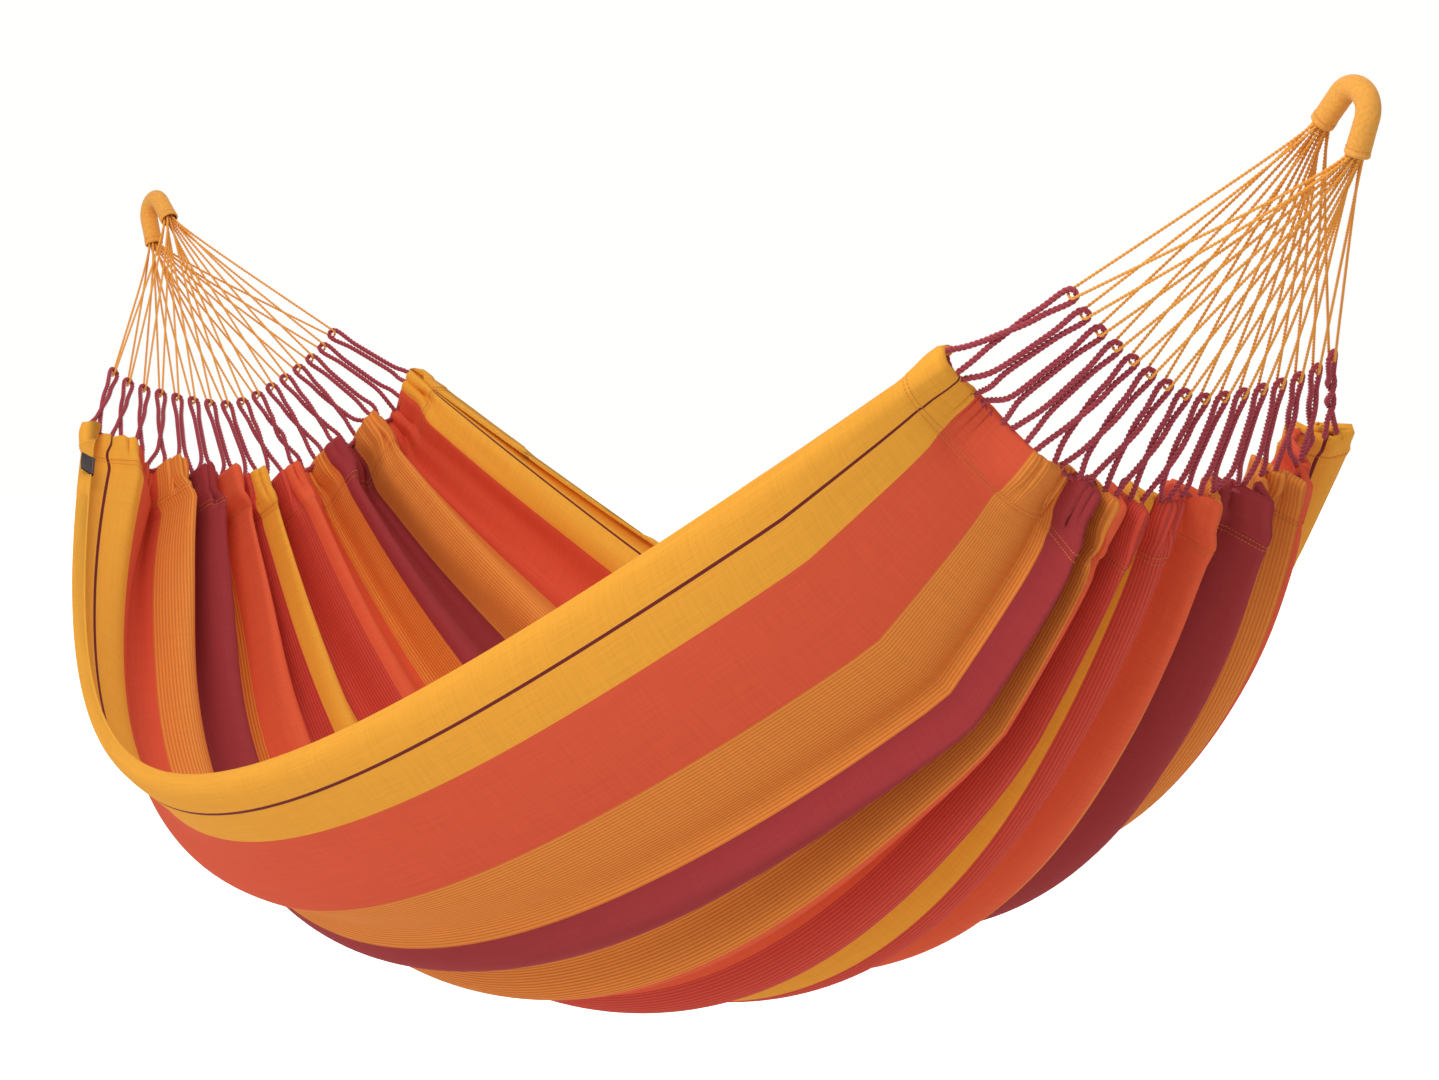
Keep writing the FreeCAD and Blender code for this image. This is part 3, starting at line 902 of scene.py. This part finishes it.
# ---- user's properties

def length_of(name, description, default, low, high):
    """A size that the user may change, in metres."""
    return bpy.props.FloatProperty(
        name=name, description=description, default=default, min=low,
        max=high, precision=5, unit="LENGTH", subtype="DISTANCE")


def colour_of(name, description, code):
    """A colour that the user may change."""
    return bpy.props.FloatVectorProperty(
        name=name, description=description, size=3, min=0, max=1,
        subtype="COLOR", default=linear(code)[:3])


class HammockSizes(bpy.types.PropertyGroup):
    """Sizes of the finish that change no outside dimension."""
    loop_lay: length_of("Loop lay", "One turn of a loop's plies",
                        0.017, 0.008, 0.04)
    fan_lay: length_of("Fan lay", "One turn of a fan cord's plies",
                       0.0095, 0.005, 0.02)
    header_lay: length_of("Header lay", "One turn of a header cord's plies",
                          0.022, 0.012, 0.04)
    cloth_thickness: length_of("Cloth thickness", "One layer of cloth",
                               0.0010, 0.0005, 0.002)
    stitch_spacing: length_of("Stitch spacing", "From stitch to stitch",
                              0.0044, 0.002, 0.01)
    thread_diameter: length_of("Thread diameter", "Thread of the hems",
                               0.0010, 0.0003, 0.002)


class HammockColours(bpy.types.PropertyGroup):
    """Colours of the cords, sleeves, thread and label."""
    loop_cord: colour_of("Loops", "Loop and header cords", "#B54552")
    fan_cord: colour_of("Fans", "Suspension cords", "#F8AC48")
    sleeve: colour_of("Sleeves", "Sleeves of the eyes", "#FAAE4C")
    thread: colour_of("Thread", "Sewing thread", "#E8934A")
    label: colour_of("Label", "Blank woven label", "#35282C")


def sizes():
    return bpy.context.scene.hammock_sizes


def dyed(colour, share=1.0):
    """A user's colour as a shader wants it, or a share of it."""
    return (*[c * share for c in colour], 1.0)


def finish_named(name):
    """The material of that name, made when it is first wanted."""
    if name in bpy.data.materials:
        return bpy.data.materials[name]
    colours = bpy.context.scene.hammock_colours
    makers = {
        # yarn-dyed cotton, woven in stripes, soft and matt
        "yarn_dyed_striped_cotton": striped_cotton,
        # laid cotton cord, matt, its twist shown by the strands themselves
        "burgundy_cotton_cord": lambda: cord_material(
            "burgundy_cotton_cord", dyed(colours.loop_cord, 1.18),
            dyed(colours.loop_cord, 0.62), 900.0),
        # slightly shinier thin cord, so that the fan looks bright
        "orange_cotton_cord": lambda: cord_material(
            "orange_cotton_cord", dyed(colours.fan_cord),
            dyed(colours.fan_cord, 0.92), 1300.0, 0.75, 0.1),
        # tight narrow-woven sleeve, smooth and matt
        "woven_cotton_sleeve": lambda: woven_band(
            "woven_cotton_sleeve", dyed(colours.sleeve),
            dyed(colours.sleeve, 0.80), 0.0020),
        # polyester sewing thread, a little glossier than the cloth
        "sewing_thread": lambda: cord_material(
            "sewing_thread", dyed(colours.thread, 1.1),
            dyed(colours.thread, 0.6), 2400.0, 0.55, 0.05),
        # damask-woven label tape, left blank
        "woven_label_tape": lambda: woven_band(
            "woven_label_tape", dyed(colours.label, 1.25),
            dyed(colours.label, 0.6), 0.0011, 0.7),
    }
    return makers[name]()


# ---- operators

class HAMMOCK_OT_camera(bpy.types.Operator):
    """Place the camera that looks along the hammock from its right end"""
    bl_idname = "hammock.camera"
    bl_label = "Camera"

    def execute(self, context):
        data = bpy.data.cameras.new("camera")
        data.sensor_width = 36.0
        data.lens = 107.7
        data.clip_end = 200.0
        eye = bpy.data.objects.new("camera", data)
        context.collection.objects.link(eye)
        yaw, pitch = math.radians(55.8), -0.028
        look = Vector((-math.sin(yaw) * math.cos(pitch),
                       math.cos(yaw) * math.cos(pitch), math.sin(pitch)))
        eye.location = (5.992, -3.021, -0.326)
        eye.rotation_mode = "QUATERNION"
        eye.rotation_quaternion = look.to_track_quat("-Z", "Y")
        context.scene.camera = eye
        return {"FINISHED"}


class HAMMOCK_OT_fans(bpy.types.Operator):
    """Make the fans of suspension cords, each bent round a loop's tip"""
    bl_idname = "hammock.fans"
    bl_label = "Suspension cords"

    def execute(self, context):
        finish = finish_named("orange_cotton_cord")
        for end in (LEFT, RIGHT):
            for index in range(LOOP_COUNT):
                control, length = fan_route(end, index)
                path = route_points(control, 0.0019)
                verts, faces = laid_cord(path, FAN_R * 1.3, sizes().fan_lay,
                                         2, 6, index * 0.7)
                name = f"{END_NAMES[end]}_fan_cord_{index + 1:02d}"
                cord = mesh_object(name, verts, faces, finish)
                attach(cord, BED)
                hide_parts(END_NAMES[end] + "_suspension_cord")
        return {"FINISHED"}


class HAMMOCK_OT_loops(bpy.types.Operator):
    """Make the twisted loops between the hems and the fans"""
    bl_idname = "hammock.loops"
    bl_label = "Loops"

    def execute(self, context):
        finish = finish_named("burgundy_cotton_cord")
        for end in (LEFT, RIGHT):
            for index in range(LOOP_COUNT):
                path = route_points(loop_control(end, index), 0.0018)
                verts, faces = laid_cord(path, LOOP_R * 1.22,
                                         sizes().loop_lay, 3, 8, index)
                name = f"{END_NAMES[end]}_twisted_loop_{index + 1:02d}"
                loop = mesh_object(name, verts, faces, finish)
                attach(loop, BED)
                node = f"{END_NAMES[end]}_loop_{index + 1:02d}"
                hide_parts(node)
        return {"FINISHED"}


class HAMMOCK_OT_header_cords(bpy.types.Operator):
    """Make the laid cords that run through the hems"""
    bl_idname = "hammock.header_cords"
    bl_label = "Header cords"

    def execute(self, context):
        finish = finish_named("burgundy_cotton_cord")
        for end in (LEFT, RIGHT):
            row = cloth()["grid"][hem_row(end, -HEADER_R)]
            spare = np.concatenate([np.repeat(row[:1], 12, axis=0), row,
                                    np.repeat(row[-1:], 12, axis=0)])
            evened = [np.convolve(spare[:, k], np.full(25, 0.04), "valid")
                      for k in range(3)]
            path = resampled(np.stack(evened, 1), 0.0025)
            verts, faces = laid_cord(path, HEADER_R * 0.8,
                                     sizes().header_lay, 3, 8)
            cord = mesh_object(END_NAMES[end] + "_laid_header", verts, faces,
                               finish)
            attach(cord, BED)
            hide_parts(END_NAMES[end] + "_header_cord")
        return {"FINISHED"}


class HAMMOCK_OT_bed(bpy.types.Operator):
    """Make the pleated striped bed with its hems folded round the headers"""
    bl_idname = "hammock.bed"
    bl_label = "Bed"

    def execute(self, context):
        made = cloth()
        grid, gap = made["grid"], made["gap"]
        across = made["across"]
        thin = sizes().cloth_thickness / 2
        edge = thin * 1.3 * (1 - smooth(CLOTH_HALF - np.abs(across),
                                        0.010, 0.013))
        roll = 0.0050 * np.sqrt(np.clip(
            1 - ((gap + HEADER_R + CLEAR) / 0.0054) ** 2, 0, 1))
        tail = 0.0050 - 0.0036 * smooth(gap, 0.004, 0.036)
        tail = np.where(gap > -(HEADER_R + CLEAR), tail, 0)
        channel = np.where(gap < 0.0395, np.maximum(roll, tail), 0.0)
        stitched = 0.0012 * np.exp(-((gap - HEM_DEPTH) / 0.002) ** 2)
        body = thin + np.maximum(channel - stitched, 0.0)
        thick = body[:, None] + edge[None]
        verts, faces, uv = sheet_solid(grid, made["normals"], thick, thick,
                                       made["uv"])
        bed = mesh_object("pleated_bed", verts, faces,
                          finish_named("yarn_dyed_striped_cotton"), uv)
        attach(bed, BED)
        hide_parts("bed_cloth")
        return {"FINISHED"}


class HAMMOCK_OT_hem_stitches(bpy.types.Operator):
    """Sew the double rows of stitches along both hems"""
    bl_idname = "hammock.hem_stitches"
    bl_label = "Hem stitches"

    def execute(self, context):
        made = cloth()
        thin = sizes().cloth_thickness / 2
        lines = []
        for end in (LEFT, RIGHT):
            for distance in (HEM_DEPTH - 0.0025, HEM_DEPTH + 0.0025):
                row = hem_row(end, distance)
                rise = thin + 0.0002
                rise += 0.0013 if distance < HEM_DEPTH else 0.0
                for face in (1, -1):
                    lines.append(made["grid"][row]
                                 + made["normals"][row] * rise * face)
        seams = sewn("hem_stitches", lines, finish_named("sewing_thread"),
                     sizes().stitch_spacing, sizes().stitch_spacing * 0.8,
                     sizes().thread_diameter)
        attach(seams, BED)
        return {"FINISHED"}


class HAMMOCK_OT_eyes(bpy.types.Operator):
    """Make the sleeved eyes with the bundles of cord inside them"""
    bl_idname = "hammock.eyes"
    bl_label = "Eyes"

    def execute(self, context):
        for end in (LEFT, RIGHT):
            name = END_NAMES[end]
            bundle = eye_bundle(end, finish_named("orange_cotton_cord"))
            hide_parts(name + "_eye_core")
            sleeve = eye_sleeve(end, finish_named("woven_cotton_sleeve"))
            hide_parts(name + "_eye_sleeve")
            seam = sewn(name + "_sleeve_stitches", sleeve_stitch_lines(end),
                        finish_named("sewing_thread"), 0.0034, 0.0026, 0.0009)
            for piece in (bundle, sleeve, seam):
                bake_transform(piece)
        return {"FINISHED"}


class HAMMOCK_OT_label(bpy.types.Operator):
    """Sew the blank woven label on the near edge"""
    bl_idname = "hammock.label"
    bl_label = "Label"

    def execute(self, context):
        grid = cloth()["grid"]
        rim, inner = grid[:, 0], grid[:, 10]
        start = HEM_INSET + 0.075
        spots = []
        for x in (start, start + 0.041):
            spots.append([np.array([np.interp(x, s[:, 0], s[:, k])
                                    for k in range(3)])
                          for s in (rim, inner)])
        heading = unit(spots[1][0] - spots[0][0])
        # the sewn edge turns the label's free side out and a little up
        outward = unit(sum(pair[0] - pair[1] for pair in spots)) * 0.35
        outward = outward + np.array([0, -1.0, 0.05])
        outward = unit(outward - heading * (outward @ heading))
        facing = np.cross(heading, outward)
        rows, columns = 24, 50
        reach = np.linspace(-0.004, LABEL_REACH, rows)
        run = np.linspace(0, LABEL_LENGTH, columns)
        r, c = np.meshgrid(reach, run, indexing="ij")
        curl = 0.0012 * np.sin(c * 90.0) * smooth(r, 0.0, LABEL_REACH)
        points = (spots[0][0] + outward * r[..., None]
                  + heading * c[..., None] + facing * curl[..., None])
        normals = grid_normals(points)
        inset = np.minimum(np.minimum(c, LABEL_LENGTH - c), LABEL_REACH - r)
        rim_fold = 0.25 * smooth(inset, 0.0012, 0.002)
        thick = 0.0007 * (1.15 - rim_fold)
        thick = thick + 0.0012 * (1 - smooth(r, 0.0, 0.003))
        uv = np.stack([c, r + 0.004], -1)
        verts, faces, uv = sheet_solid(points, normals, thick, thick, uv)
        label = mesh_object("blank_label", verts, faces,
                            finish_named("woven_label_tape"), uv)
        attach(label, BED)
        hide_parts("edge_label")
        lines = []
        for sign in (1, -1):
            row = points[4, 1:-1] + normals[4, 1:-1] * (0.0020 * sign)
            lines.append(row)
        seam = sewn("label_stitches", lines, finish_named("sewing_thread"),
                    0.003, 0.0023, 0.0006)
        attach(seam, BED)
        return {"FINISHED"}


class HAMMOCK_OT_stage(bpy.types.Operator):
    """Set the pale floor, the soft lamps and the white surroundings"""
    bl_idname = "hammock.stage"
    bl_label = "Stage"

    def execute(self, context):
        floor_z = -1.6
        material = bpy.data.materials.new("white_paper_floor")
        material.use_nodes = True
        tree = material.node_tree
        tree.nodes.clear()
        seen = self.seen(tree)
        paper = add_node(tree, "ShaderNodeBsdfDiffuse",
                         {"Color": linear("#F6F6F4")})
        glow = add_node(tree, "ShaderNodeEmission", {
            "Color": linear("#FFFFFD"), "Strength": seen})
        both = add_node(tree, "ShaderNodeAddShader",
                        {0: paper.outputs[0], 1: glow.outputs[0]})
        add_node(tree, "ShaderNodeOutputMaterial",
                 {"Surface": both.outputs[0]})
        size = 60.0
        corners = [(-size, -size, floor_z), (size, -size, floor_z),
                   (size, size, floor_z), (-size, size, floor_z)]
        floor = mesh_object("floor", corners, [[0, 1, 2, 3]], material)
        world = bpy.data.worlds.new("white_studio")
        context.scene.world = world
        world.use_nodes = True
        tree = world.node_tree
        tree.nodes.clear()
        level = add_node(tree, "ShaderNodeMapRange",
                         {0: self.seen(tree), 3: 0.50, 4: 1.0})
        air = add_node(tree, "ShaderNodeBackground", {
            "Color": linear("#FFFFFD"), "Strength": level.outputs[0]})
        add_node(tree, "ShaderNodeOutputWorld", {"Surface": air.outputs[0]})
        target = Vector((HALF_SPAN, 0.0, -0.55))
        for name, place, power, size in (
                ("key", (3.6, -3.2, 2.6), 105.0, 2.2),
                ("fill", (0.2, -4.6, 0.4), 34.0, 3.0),
                ("top", (1.2, 1.2, 3.2), 24.0, 3.0)):
            lamp = bpy.data.lights.new(name, "AREA")
            lamp.energy = power
            lamp.size = size
            holder = bpy.data.objects.new(name, lamp)
            context.collection.objects.link(holder)
            holder.location = place
            way = target - holder.location
            holder.rotation_mode = "QUATERNION"
            holder.rotation_quaternion = way.to_track_quat("-Z", "Y")
        context.scene.view_settings.view_transform = "Standard"
        return {"FINISHED"}

    @staticmethod
    def seen(tree):
        """1 for rays that show the surroundings themselves, 0 for light."""
        rays = add_node(tree, "ShaderNodeLightPath").outputs
        total = add_node(tree, "ShaderNodeMath", {
            0: rays["Is Camera Ray"], 1: rays["Is Glossy Ray"]},
            operation="ADD").outputs[0]
        total = add_node(tree, "ShaderNodeMath", {
            0: total, 1: rays["Is Transmission Ray"]},
            operation="ADD", use_clamp=True).outputs[0]
        return total


class HAMMOCK_PT_panel(bpy.types.Panel):
    """Lists the hammock's pieces and finishes"""
    bl_label = "Hammock"
    bl_idname = "HAMMOCK_PT_panel"
    bl_space_type = "VIEW_3D"
    bl_region_type = "UI"
    bl_category = "Hammock"

    def draw(self, context):
        for step in STEPS:
            self.layout.operator(step.bl_idname)
        for group, kind in ((context.scene.hammock_sizes, HammockSizes),
                            (context.scene.hammock_colours,
                             HammockColours)):
            for name in kind.__annotations__:
                self.layout.prop(group, name)


STEPS = (HAMMOCK_OT_camera, HAMMOCK_OT_fans, HAMMOCK_OT_loops,
         HAMMOCK_OT_header_cords, HAMMOCK_OT_bed, HAMMOCK_OT_hem_stitches,
         HAMMOCK_OT_eyes, HAMMOCK_OT_label, HAMMOCK_OT_stage)
CLASSES = (HammockSizes, HammockColours, *STEPS, HAMMOCK_PT_panel)


def register():
    for kind in CLASSES:
        bpy.utils.register_class(kind)
    scene = bpy.types.Scene
    scene.hammock_sizes = bpy.props.PointerProperty(type=HammockSizes)
    scene.hammock_colours = bpy.props.PointerProperty(type=HammockColours)


def unregister():
    del bpy.types.Scene.hammock_sizes
    del bpy.types.Scene.hammock_colours
    for kind in reversed(CLASSES):
        bpy.utils.unregister_class(kind)


def main():
    register()
    for step in STEPS:
        group, name = step.bl_idname.split(".")
        getattr(getattr(bpy.ops, group), name)()


if __name__ == "__main__":
    main()
